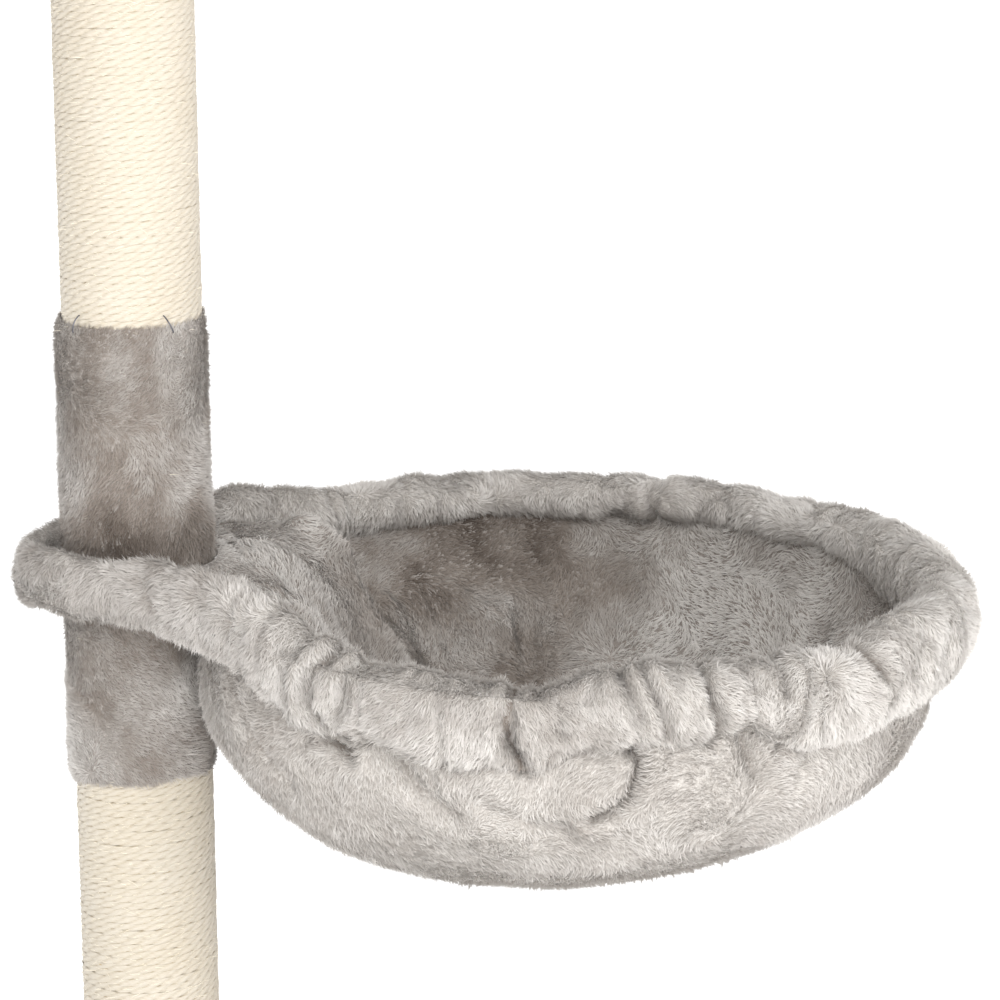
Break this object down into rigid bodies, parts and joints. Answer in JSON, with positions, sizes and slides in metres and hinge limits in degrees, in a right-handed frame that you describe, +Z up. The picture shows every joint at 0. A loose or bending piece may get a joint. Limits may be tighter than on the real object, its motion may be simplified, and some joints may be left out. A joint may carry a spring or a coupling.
{
  "type": "cat tree",
  "caption": "Free-standing cat tree: a sisal scratching post on a plush-covered base, with a plush bowl hammock on a wire hoop that turns round the post, and a small top perch.",
  "frame": {"origin": "middle of the flat underside of the base board, on the floor", "axes": "+Z up along the post, +X from the post towards the hammock at rest, -Y the front"},
  "size_m": [0.7205, 0.5356, 1.0436],
  "materials": {
    "plush": "short grey plush pile",
    "plush_lining": "grey-brown plush pile",
    "sisal": "natural three-strand sisal rope",
    "chipboard": "raw chipboard",
    "cardboard": "wound cardboard",
    "zinc": "zinc plated",
    "black_wire": "black powder coat",
    "staple_wire": "dark wire",
    "elastic": "woven elastic"
  },
  "bodies": {
    "stand": {"base_board": "chipboard", "base_cover": "plush", "base_bolt": "zinc", "base_washer": "zinc", "lower_core_tube": "cardboard", "lower_end_plug_bottom": "chipboard", "lower_tee_nut_bottom": "zinc", "lower_end_plug_top": "chipboard", "lower_tee_nut_top": "zinc", "lower_sisal_rope": "sisal", "lower_plush_sleeve": "plush", "joint_stud": "zinc", "upper_core_tube": "cardboard", "upper_end_plug_bottom": "chipboard", "upper_tee_nut_bottom": "zinc", "upper_end_plug_top": "chipboard", "upper_tee_nut_top": "zinc", "upper_sisal_rope": "sisal", "upper_plush_sleeve": "plush", "sleeve_staple_left": "staple_wire", "sleeve_staple_right": "staple_wire", "top_board": "chipboard", "top_cover": "plush", "top_bolt": "zinc", "top_washer": "zinc"},
    "hammock": {"frame_plate": "black_wire", "frame_hoop": "black_wire", "hem_elastic": "elastic", "hammock_rim": "plush", "hammock_collar": "plush", "hammock_outer": "plush", "hammock_lining": "plush_lining"}
  },
  "joints": [
    {"name": "hammock_swivel", "type": "hinge", "parent": "stand", "child": "hammock", "pos_m": [-0.17, 0, 0.5228], "axis": [0, 0, 1], "continuous": true}
  ]
}
